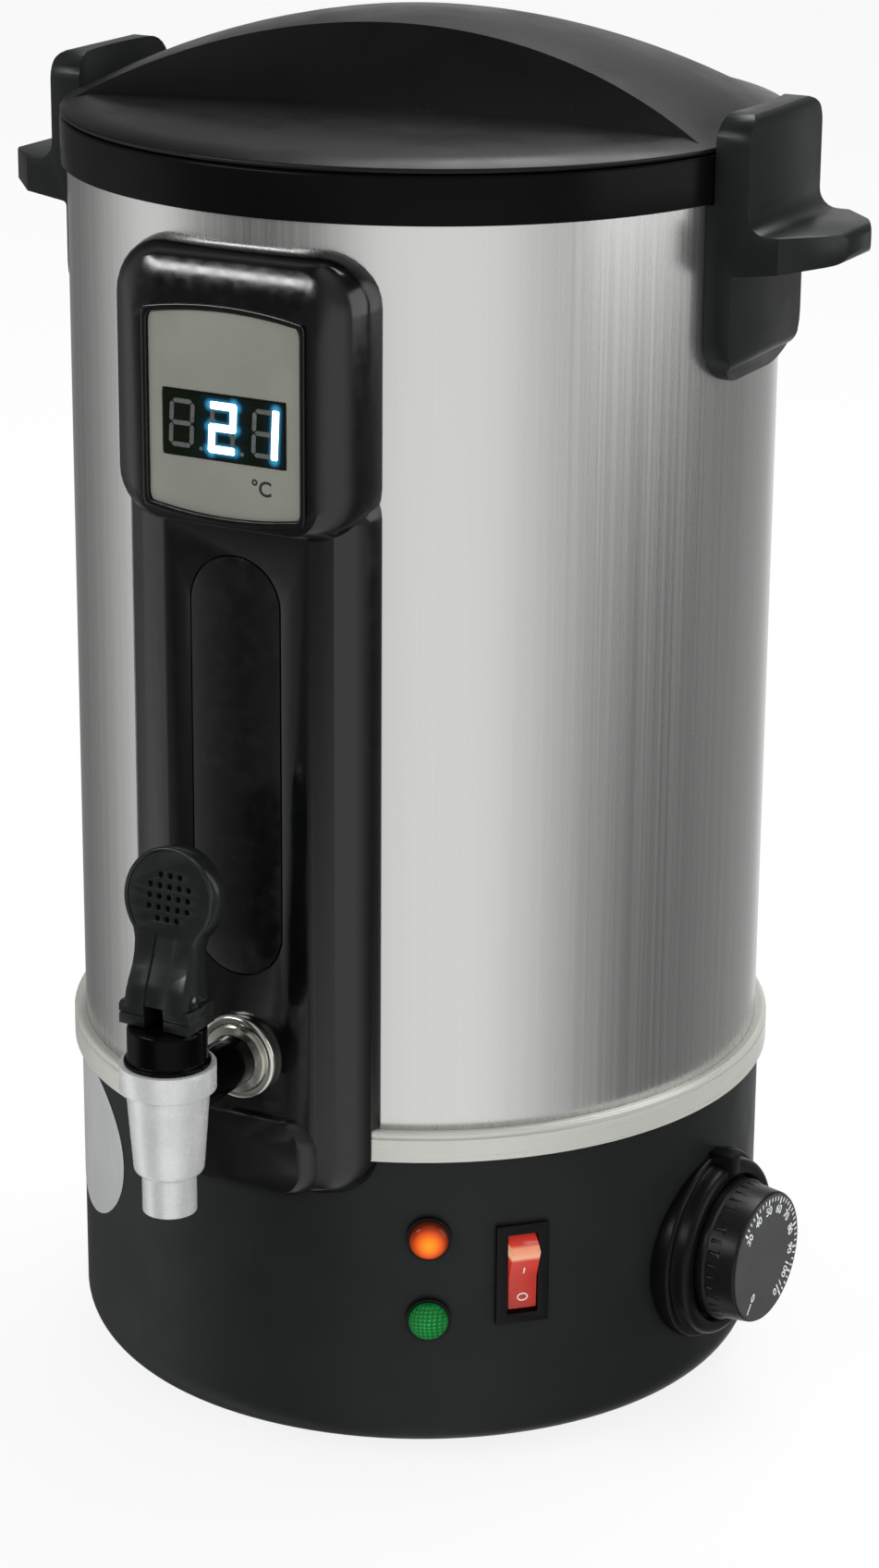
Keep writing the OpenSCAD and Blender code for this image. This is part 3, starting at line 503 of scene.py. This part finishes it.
def build_display():
    """The lit and the dark bars of three digits, the glow behind them, and the unit printed below."""
    upright = Matrix.Rotation(math.pi / 2, 4, "X")
    face = Matrix.Translation((WINDOW_MID.x, WINDOW_LOW.y, WINDOW_MID.z)) @ upright
    lit, unlit, lit_bars = Shapes(), Shapes(), []
    dot = circle(DOT_R, 16)
    for x, digit in zip(DIGIT_X, DIGITS):
        for key in SEGMENTS:
            shown = key in SHOWN[digit]
            width, point, short = LIT if shown else UNLIT
            a, b = segment_ends(x, key, short)
            if shown:
                lit_bars.append((a, b))
                lit.prism(bar_outline(a, b, BAR * width, point), BARS_AT, LIT_FRONT)
            else:
                unlit.prism(bar_outline(a, b, BAR * width, point), BARS_AT, UNLIT_FRONT)
        if digit != DIGITS[-1]:
            beside = Matrix.Translation((x + DIGIT_W * DOT_AT[0], DIGIT_H * DOT_AT[1], 0))
            unlit.prism(dot, BARS_AT, UNLIT_FRONT, beside)
    white = Shader("digit_lit", (0.75, 0.95, 1.0), 0.5)
    white.glow(white.tones(white.noise(700.0), (0.66, 0.95, 1.0), (0.85, 1.0, 1.0)), 2.2)
    dim = Shader("digit_unlit", (0.075, 0.085, 0.08), 0.5)
    dim.mottle(500.0, 0.2).rough(500.0, 0.4, 0.6)
    lit.make("digits_lit", white, "urn", face)
    unlit.make("digits_unlit", dim, "urn", face)

    # The inside of the window: near black, with blue light that spills from the lit bars and fades
    columns, rows, core, fade = 120, 60, BAR * 0.45, 0.0011
    half_w, half_h = WINDOW_SIZE.x * 0.485, WINDOW_SIZE.z * 0.475
    points, spill = [], []
    for j in range(rows + 1):
        for i in range(columns + 1):
            p = Vector(((2 * i / columns - 1) * half_w, (2 * j / rows - 1) * half_h))
            points.append((p.x, p.y, GROUND_AT))
            near = min(distance_to_bar(p, a, b) for a, b in lit_bars)
            spill.append(math.exp(-max(0.0, near - core) / fade))
    wide = columns + 1
    faces = [[j * wide + i, j * wide + i + 1, (j + 1) * wide + i + 1, (j + 1) * wide + i]
             for j in range(rows) for i in range(columns)]
    ground = Shader("display_ground", (0.004, 0.007, 0.003), 0.3)
    ground.set(Specular_IOR_Level=0.1)
    ground.rough(300.0, 0.2, 0.35)
    light = ground.node("ShaderNodeAttribute")
    light.attribute_name = "spill"
    ground.glow(ground.ramp(light.outputs["Fac"],
                            [(0.0, (0, 0, 0)), (0.3, (0.0, 0.008, 0.02)), (1.0, (0.03, 0.30, 0.55))]), 1.0)
    o = piece("display_ground", points, faces, ground, "urn", face)
    o.data.attributes.new("spill", "FLOAT", "POINT").data.foreach_set("value", spill)

    # The unit sign printed under the window
    ink = Shader("print_black", (0.012, 0.012, 0.012), 0.5)
    ink.mottle(800.0, 0.2)
    plate_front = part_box("display_plate")[0].y
    below_window = 0.0062
    under = Matrix.Translation((0, plate_front, WINDOW_LOW.z - below_window)) @ upright
    sign = Shapes()
    sign.text("°C", height=0.0042, centre=(0.0118, -0.0002), bold=0.0001)
    sign.make("unit_print", ink, "urn", under)


def distance_to_bar(p, a, b):
    """Distance of p from the line between a and b."""
    along = b - a
    t = max(0.0, min(1.0, (p - a).dot(along) / along.length_squared))
    return (p - a - along * t).length


build_display()

# ---------- switch and lamps ----------
# The rocker's lean at rest and the slope of its two faces, in degrees
ROCKER_TILT, FACE_SLOPE = 12, 10.3
# How far its ridge stands off the pivot, half its height, and how high the marks stand off it
ROCKER_RIDGE, ROCKER_HALF, MARK_HIGH = 0.0056, 0.011, 0.00008
# The amber lamp's hot core sits this far below its middle; the green one's glow fades by this much a metre
AMBER_CORE_DROP, GREEN_FADE = 0.0006, 110.0
# A colour ramp holds 256 steps, so distances go in as centimetres
RAMP_UNITS = 100.0


def build_switch():
    """The red rocker, glowing from its lamp inside with a painted highlight band near its top, and the two marks
    on it.
    """
    pivot = JOINT_AT["rocker_tilt"]
    radius = math.hypot(pivot.x, pivot.y)
    red = lens("rocker_red", (0.32, 0.018, 0.010), 0.2)
    high = red.node("ShaderNodeSeparateXYZ", Vector=red.coords).outputs["Z"]
    up = red.node("ShaderNodeMapRange", Value=high)
    for key, value in (("From Min", pivot.z - ROCKER_HALF), ("From Max", pivot.z + ROCKER_HALF)):
        up.inputs[key].default_value = value
    # Glow from the lamp inside, darker towards the bottom, with a cream band near the top that is a painted
    # highlight
    red.glow(red.ramp(up.outputs["Result"], [(0.0, (0.10, 0.006, 0.004)), (0.55, (0.32, 0.02, 0.012)),
                                            (0.74, (0.40, 0.04, 0.025)), (0.80, (0.80, 0.55, 0.36)),
                                            (0.93, (0.70, 0.36, 0.2)), (0.96, (0.4, 0.03, 0.02))]), 0.75)
    put(red, "switch_rocker")
    white = Shader("print_white", (0.75, 0.72, 0.70), 0.5)
    white.mottle(700.0, 0.08)
    tilt = wall_matrix(SWITCH_AZ, pivot.z, radius) @ Matrix.Rotation(math.radians(ROCKER_TILT), 4, "X")
    marks = Shapes()
    # The marks' places are up from the ridge, along the faces
    for slope, y, mark in ((FACE_SLOPE, 0.0030, "I"), (-FACE_SLOPE, -0.0064, "O")):
        face = Matrix.Rotation(math.radians(slope), 4, "X") @ Matrix.Translation((0, y, 0))
        place = tilt @ Matrix.Translation((0, 0, ROCKER_RIDGE)) @ face
        if mark == "I":
            marks.prism(bar(0.00022, 0.0012), 0, MARK_HIGH, place)
        else:
            marks.ring((0.0017, 0.0013), (0.0013, 0.0009), 0, MARK_HIGH, place)
    marks.make("rocker_print", white, "rocker")


def build_lamps():
    """The lit lenses: an amber one with a hot core and a green one with its grid of prisms."""
    fronts = []
    for node in ("lamp_amber", "lamp_green"):
        middle = sum((Vector(v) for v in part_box(node)), Vector()) / 2
        fronts.append(wall_matrix(LAMP_AZ, middle.z, reach(node, LAMP_AZ)).translation)
    amber = lens("amber_lens", (0.05, 0.008, 0.0008), 0.2)
    amber.set(Specular_IOR_Level=0.3)
    core = fronts[0] - Vector((0, 0, AMBER_CORE_DROP))
    out = amber.math("MULTIPLY", amber.distance_to(core), RAMP_UNITS)
    amber.glow(amber.ramp(out, [
        (0.0, (1.0, 0.38, 0.008)), (0.22, (1.0, 0.24, 0.004)), (0.38, (0.80, 0.09, 0.002)),
        (0.52, (0.28, 0.022, 0.001)), (0.64, (0.05, 0.004, 0.0))]), 0.95)
    green = lens("green_lens", (0.001, 0.05, 0.008), 0.3, grid=0.0024)
    green.set(Specular_IOR_Level=0.3)
    near = green.math("ADD", green.math("MULTIPLY", green.distance_to(fronts[1]), -GREEN_FADE), 1.0)
    green.glow(green.ramp(green.math("MULTIPLY", green.waves, near), [
        (0.0, (0.0, 0.05, 0.008)), (0.35, (0.001, 0.16, 0.022)), (0.8, (0.01, 0.36, 0.07))]), 0.9)
    put(amber, "lamp_amber")
    put(green, "lamp_green")


build_switch()
build_lamps()


# ---------- temperature knob ----------
# The dial's face disc: its radius, its edge's height, how far the edge steps in, and the height of the face
DIAL_R, DIAL_EDGE, DIAL_STEP, DIAL_FACE = 0.0199, 0.00012, 0.00025, 0.00025
DIAL_PRINT_HIGH = 0.00005
DIAL_TEXT = {"height": 0.0026, "bold": 0.00006}
# (half width, length) of the long ticks and the short ones
LONG_TICK, SHORT_TICK = (0.00034, 0.0022), (0.00026, 0.0014)
# How far in from the radius: the ticks' outer ends, the numbers, the mark for off and its 0
TICKS_IN, NUMBERS_IN, OFF_MARK_IN, OFF_TEXT_IN = 0.0009, 0.0049, 0.0030, 0.0068
# (half width, half length) of the mark for off
OFF_MARK = (0.0003, 0.0018)
# Clockwise from the top, in degrees
DIAL_FIRST, DIAL_LAST, DIAL_OFF = -48, 150, -142
DIAL_NUMBERS = list(range(30, 120, 10))
TICKS_A_NUMBER = 4


def build_knob():
    """The dial's satin face, its ticks and numbers, and the mark for off."""
    place = wall_matrix(KNOB_AZ, JOINT_AT["knob_turn"].z, reach("thermostat_knob", KNOB_AZ))
    satin = moulded("dial_satin", 0.055, 0.42, grain=2200.0, depth=0.00001, tint=(0.98, 1.0, 1.04))
    disc = Shapes()
    for radius, high in ((DIAL_R, DIAL_EDGE), (DIAL_R - DIAL_STEP, DIAL_FACE)):
        disc.prism(circle(radius, 96), 0.0, high)
    disc.make("dial_face", satin, "knob", place)
    place = place @ Matrix.Translation((0, 0, DIAL_FACE))
    print_shade = Shader("dial_print", (0.72, 0.73, 0.73), 0.5)
    print_shade.mottle(600.0, 0.15)
    dial = Shapes()
    step = (DIAL_LAST - DIAL_FIRST) / (len(DIAL_NUMBERS) - 1)
    for i in range(TICKS_A_NUMBER * (len(DIAL_NUMBERS) - 1) + 1):
        a = math.radians(DIAL_FIRST + i * step / TICKS_A_NUMBER)
        half_width, length = SHORT_TICK if i % TICKS_A_NUMBER else LONG_TICK
        turn = Matrix.Rotation(-a, 4, "Z") @ Matrix.Translation((0, DIAL_R - TICKS_IN - length / 2, 0))
        dial.prism(bar(half_width, length / 2), 0, DIAL_PRINT_HIGH, turn)
    for i, number in enumerate(DIAL_NUMBERS):
        a, r = DIAL_FIRST + i * step, DIAL_R - NUMBERS_IN
        centre = (r * math.sin(math.radians(a)), r * math.cos(math.radians(a)))
        dial.text(str(number), centre=centre, turn=-a, **DIAL_TEXT)
    off, r = math.radians(DIAL_OFF), DIAL_R - OFF_TEXT_IN
    turn = Matrix.Rotation(-off, 4, "Z") @ Matrix.Translation((0, DIAL_R - OFF_MARK_IN, 0))
    dial.prism(bar(*OFF_MARK), 0, DIAL_PRINT_HIGH, turn)
    dial.text("0", centre=(r * math.sin(off), r * math.cos(off)), turn=-DIAL_OFF, **DIAL_TEXT)
    dial.make("dial_print", print_shade, "knob", place)


build_knob()


# ---------- tap: the paddle's lip, painted shade in its dimples, and the coil ---
LEVER_LEAN = -10.0
# The paddle: its middle above the lever's pin, its radius, and its front face ahead of the pin
PADDLE_UP, PADDLE_R, PADDLE_FACE = 0.0285, 0.0145, 0.0032
# Its dimples: pitch, radius, and the back and front of the dark discs of painted shade in them
DIMPLE_PITCH, DIMPLE_R, DIMPLE_DISC = 0.0031, 0.00076, (-0.0003, -0.00028)
# Its lip: how far in from the edge, half its thickness, where its arc starts in degrees, and one straight end
LIP_INSET, LIP_R, LIP_START = 0.0007, 0.00055, -42.0
LIP_END = [(0.0084, -0.0165), (0.0088, -0.0130)]


def tube_along(path, radius, around=10):
    """Points and faces of a round bar along flat points, closed at both ends."""
    points, faces = [], []
    for k, (x, y) in enumerate(path):
        before, after = path[max(k - 1, 0)], path[min(k + 1, len(path) - 1)]
        side = Vector((after[1] - before[1], before[0] - after[0])).normalized()
        for u, w in circle(radius, around):
            points.append(Vector((x + side.x * u, y + side.y * u, w)))
    for k in range(len(path) - 1):
        for m in range(around):
            near, far, after = k * around, (k + 1) * around, (m + 1) % around
            faces.append([near + m, far + m, far + after, near + after])
    faces += [list(range(around))[::-1], [len(points) - around + m for m in range(around)]]
    return points, faces


def build_tap_pieces():
    """Discs of painted shade in the paddle's dimples, its lip, and a copy of the spring that rides on the urn.
    """
    place = (Matrix.Translation(JOINT_AT["lever_tilt"]) @ Matrix.Rotation(math.radians(LEVER_LEAN), 4, "X")
             @ Matrix.Translation((0, -PADDLE_FACE, PADDLE_UP)) @ Matrix.Rotation(math.pi / 2, 4, "X"))
    # Dark discs at the dimples' bottoms: painted shade
    pits = Shapes()
    for i in range(-2, 3):
        for j in range(-2, 3):
            if i * i + j * j < 8:
                pits.prism(circle(DIMPLE_R, 16, (i * DIMPLE_PITCH, j * DIMPLE_PITCH)), *DIMPLE_DISC)
    pits.make("paddle_pit_shade", pit_painted_shade, "tap_lever", place)

    steps, r = 72, PADDLE_R - LIP_INSET
    path = list(LIP_END)
    for k in range(steps + 1):
        a = math.radians(LIP_START + (180 - 2 * LIP_START) * k / steps)
        path.append((r * math.cos(a), r * math.sin(a)))
    path += [(-x, y) for x, y in reversed(LIP_END)]
    piece("paddle_lip", *tube_along(path, LIP_R), lever_black, "tap_lever", place, smooth=True)

    rest = NODES["tap_spring"]
    coil = piece("tap_coil", [rest.matrix_world @ v.co for v in rest.data.vertices],
                 [list(f.vertices) for f in rest.data.polygons], pressed_steel, "urn", smooth=True)
    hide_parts("tap_spring")
    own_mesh(coil)


build_tap_pieces()


# ---------- plain label on the base, and the jacket's seam ----------
LABEL_AZ, LABEL_HEIGHT = -46.0, 0.0735
LABEL_HALF_W, LABEL_HALF_H, LABEL_PROUD = 0.031, 0.025, 0.00012
# The seam: half its width, its back and front from the wall, and its gap to the rings above and below
SEAM_HALF_W, SEAM_BACK, SEAM_FRONT, SEAM_GAP = 0.0007, -0.0002, 0.0001, 0.0002


def build_wall_pieces():
    """A blank oval label that follows the base's wall, and the jacket's welded seam at the back."""
    label = Shader("label_grey", (0.40, 0.41, 0.405), 0.45)
    label.mottle(60.0, 0.05).rough(300.0, 0.38, 0.52)
    rings, steps = 12, 72
    points = [(0.0, 0.0)]
    for k in range(1, rings + 1):
        for i in range(steps):
            a = 2 * math.pi * i / steps
            points.append((LABEL_HALF_W * k / rings * math.cos(a), LABEL_HALF_H * k / rings * math.sin(a)))
    radius = BASE_R + LABEL_PROUD
    wrapped = [wall_matrix(LABEL_AZ + math.degrees(x / radius), LABEL_HEIGHT + y, radius).translation
               for x, y in points]
    faces = [[0, 1 + i, 1 + (i + 1) % steps] for i in range(steps)]
    for k in range(rings - 1):
        a, b = 1 + k * steps, 1 + (k + 1) * steps
        faces += [[a + i, b + i, b + (i + 1) % steps, a + (i + 1) % steps] for i in range(steps)]
    piece("base_label", wrapped, faces, label, "urn", smooth=True)

    low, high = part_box("trim_ring")[1].z + SEAM_GAP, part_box("rim_collar")[0].z - SEAM_GAP
    seam = Shapes()
    seam.prism([(-SEAM_HALF_W, low), (SEAM_HALF_W, low), (SEAM_HALF_W, high), (-SEAM_HALF_W, high)],
               SEAM_BACK, SEAM_FRONT)
    seam.make("jacket_seam", pressed_steel, "urn", wall_matrix(180, 0, JACKET_R), "brushed_steel")


build_wall_pieces()


# ---------- floor, world, lamps and camera ----------
def ray_mix(tree, ray, plain, shown):
    """Where ray is 1 the shown shader is used, otherwise the plain one."""
    mix = tree.nodes.new("ShaderNodeMixShader")
    tree.links.new(ray, mix.inputs[0])
    tree.links.new(plain, mix.inputs[1])
    tree.links.new(shown, mix.inputs[2])
    return mix.outputs[0]


def build_floor():
    """A pale floor that takes the object's shadow and shows nearly white to the camera."""
    half, pale, shown_white = 8.0, 0.86, 0.86
    mesh = bpy.data.meshes.new("floor")
    corners = [(-half, -half, 0), (half, -half, 0), (half, half, 0), (-half, half, 0)]
    mesh.from_pydata(corners, [], [[0, 1, 2, 3]])
    floor = bpy.data.objects.new("floor", mesh)
    bpy.context.scene.collection.objects.link(floor)
    floor.visible_glossy = False
    material = bpy.data.materials.new("floor_white")
    material.use_nodes = True
    tree = material.node_tree
    base = tree.nodes["Principled BSDF"]
    base.inputs["Base Color"].default_value = (pale, pale, pale, 1)
    base.inputs["Roughness"].default_value = 0.9
    glow = tree.nodes.new("ShaderNodeEmission")
    glow.inputs["Strength"].default_value = 1.0
    rays = tree.nodes.new("ShaderNodeLightPath")
    share = tree.nodes.new("ShaderNodeMath")
    share.operation = "MULTIPLY"
    tree.links.new(rays.outputs["Is Camera Ray"], share.inputs[0])
    share.inputs[1].default_value = shown_white
    out = ray_mix(tree, share.outputs[0], base.outputs[0], glow.outputs[0])
    tree.links.new(out, tree.nodes["Material Output"].inputs["Surface"])
    mesh.materials.append(material)


# How bright the studio is round the object for glossy surfaces, by azimuth in degrees from the front
STUDIO = [(-180, 0.42), (-168, 1.0), (-152, 0.8), (-138, 0.27), (-128, 0.15), (-118, 0.14), (-100, 0.25),
          (-88, 0.42), (-80, 0.63), (-72, 0.78), (-60, 0.80), (-48, 0.30), (-28, 0.07), (-8, 0.20), (6, 0.70),
          (18, 0.88), (52, 0.88), (60, 0.72), (71, 0.58), (81, 0.38), (91, 0.235), (103, 0.135), (116, 0.125),
          (131, 0.17), (147, 0.22), (163, 0.29), (180, 0.42)]
# The same from straight down (-1) through level (0) to straight up (1), as a share of the above
STUDIO_TALL = [(-1, 1.0), (-0.1, 1.0), (0.05, 0.8), (0.2, 0.5), (0.6, 0.45), (1, 0.7)]
# The even light of the room on rough surfaces
ROOM = (0.66, 0.66, 0.66, 1)


def build_world():
    """White to the camera, even light on rough surfaces, and the banded studio for glossy ones."""
    world = bpy.data.worlds.new("studio")
    bpy.context.scene.world = world
    world.use_nodes = True
    tree = world.node_tree
    tree.nodes.clear()

    def node(kind, *sources, operation=None):
        """Adds a node; sources are values or sockets for its inputs, in their order."""
        made = tree.nodes.new(kind)
        if operation:
            made.operation = operation
        for socket, source in zip(made.inputs, sources):
            if isinstance(source, bpy.types.NodeSocket):
                tree.links.new(source, socket)
            else:
                socket.default_value = source
        return made

    def levels(fac, low, high, stops):
        """A grey ramp over fac, which runs from low to high."""
        share = node("ShaderNodeMapRange", fac, low, high)
        ramp = node("ShaderNodeValToRGB", share.outputs["Result"])
        elements = ramp.color_ramp.elements
        while len(elements) < len(stops):
            elements.new(0.5)
        for element, (at, level) in zip(elements, stops):
            element.position = (at - low) / (high - low)
            element.color = (level, level, level, 1)
        return ramp.outputs["Color"]

    direction = node("ShaderNodeTexCoord").outputs["Generated"]
    split = node("ShaderNodeSeparateXYZ", direction)
    ahead = node("ShaderNodeMath", split.outputs["Y"], -1.0, operation="MULTIPLY").outputs[0]
    azimuth = node("ShaderNodeMath", split.outputs["X"], ahead, operation="ARCTAN2").outputs[0]
    degrees = node("ShaderNodeMath", azimuth, 180 / math.pi, operation="MULTIPLY").outputs[0]
    glossy = node("ShaderNodeBackground")
    shade = node("ShaderNodeVectorMath", levels(degrees, -180, 180, STUDIO),
                 levels(split.outputs["Z"], -1, 1, STUDIO_TALL), operation="MULTIPLY")
    tree.links.new(shade.outputs[0], glossy.inputs["Color"])
    diffuse = node("ShaderNodeBackground", ROOM)
    seen = node("ShaderNodeBackground", (1, 1, 1, 1))
    rays = node("ShaderNodeLightPath")
    mixed = ray_mix(tree, rays.outputs["Is Glossy Ray"], diffuse.outputs[0], glossy.outputs[0])
    mixed = ray_mix(tree, rays.outputs["Is Camera Ray"], mixed, seen.outputs[0])
    out = node("ShaderNodeOutputWorld")
    tree.links.new(mixed, out.inputs["Surface"])


def area_lamp(name, place, aim, width, height, power):
    """A soft lamp at place, turned to aim; sizes are in metres and the power in watts."""
    data = bpy.data.lights.new(name, "AREA")
    data.shape = "RECTANGLE"
    data.size, data.size_y, data.energy = width, height, power
    lamp = bpy.data.objects.new(name, data)
    bpy.context.scene.collection.objects.link(lamp)
    lamp.location = place
    lamp.rotation_mode = "QUATERNION"
    lamp.rotation_quaternion = (Vector(aim) - Vector(place)).to_track_quat("-Z", "Y")
    lamp.visible_camera = False


# Where the photograph was taken from, and its lens: f in pixels of a 951 x 1697 picture
CAMERA_AT = (0.5561, -1.0241, 0.5812)
# It is turned round Z in degrees; the smaller angles are in radians
CAMERA_TURN = 28.5
CAMERA_YAW, CAMERA_PITCH, CAMERA_ROLL = 0.0046, 0.3329, 0.0078
FOCAL_PX, PICTURE_W, PICTURE_H = 4311.2, 951, 1697
SENSOR_MM = 36


def build_camera():
    """The camera of the photograph."""
    yaw, pitch, roll = CAMERA_YAW, CAMERA_PITCH, CAMERA_ROLL
    ahead = Vector((math.sin(yaw) * math.cos(pitch), math.cos(yaw) * math.cos(pitch), -math.sin(pitch)))
    right = Vector((math.cos(yaw), -math.sin(yaw), 0))
    up = right.cross(ahead)
    side = math.cos(roll) * right + math.sin(roll) * up
    top = -math.sin(roll) * right + math.cos(roll) * up
    turn = Matrix((side, top, -ahead)).transposed().to_4x4()
    data = bpy.data.cameras.new("camera")
    data.sensor_width = SENSOR_MM
    data.lens = FOCAL_PX / max(PICTURE_W, PICTURE_H) * data.sensor_width
    camera = bpy.data.objects.new("camera", data)
    bpy.context.scene.collection.objects.link(camera)
    round_z = Matrix.Rotation(math.radians(CAMERA_TURN), 4, "Z")
    camera.matrix_world = Matrix.Translation(CAMERA_AT) @ round_z @ turn
    bpy.context.scene.camera = camera


build_floor()
build_world()
area_lamp("key", (-0.9, -1.6, 1.1), aim=(0, 0, 0.25), width=1.3, height=0.2, power=13)
area_lamp("side", (2.0, 0.35, 0.7), aim=(0, 0, 0.25), width=1.6, height=1.4, power=12)
area_lamp("overhead", (0.1, 0.7, 1.6), aim=(0, 0, 0.38), width=1.4, height=0.9, power=18)
build_camera()
bpy.context.scene.view_settings.view_transform = "Standard"
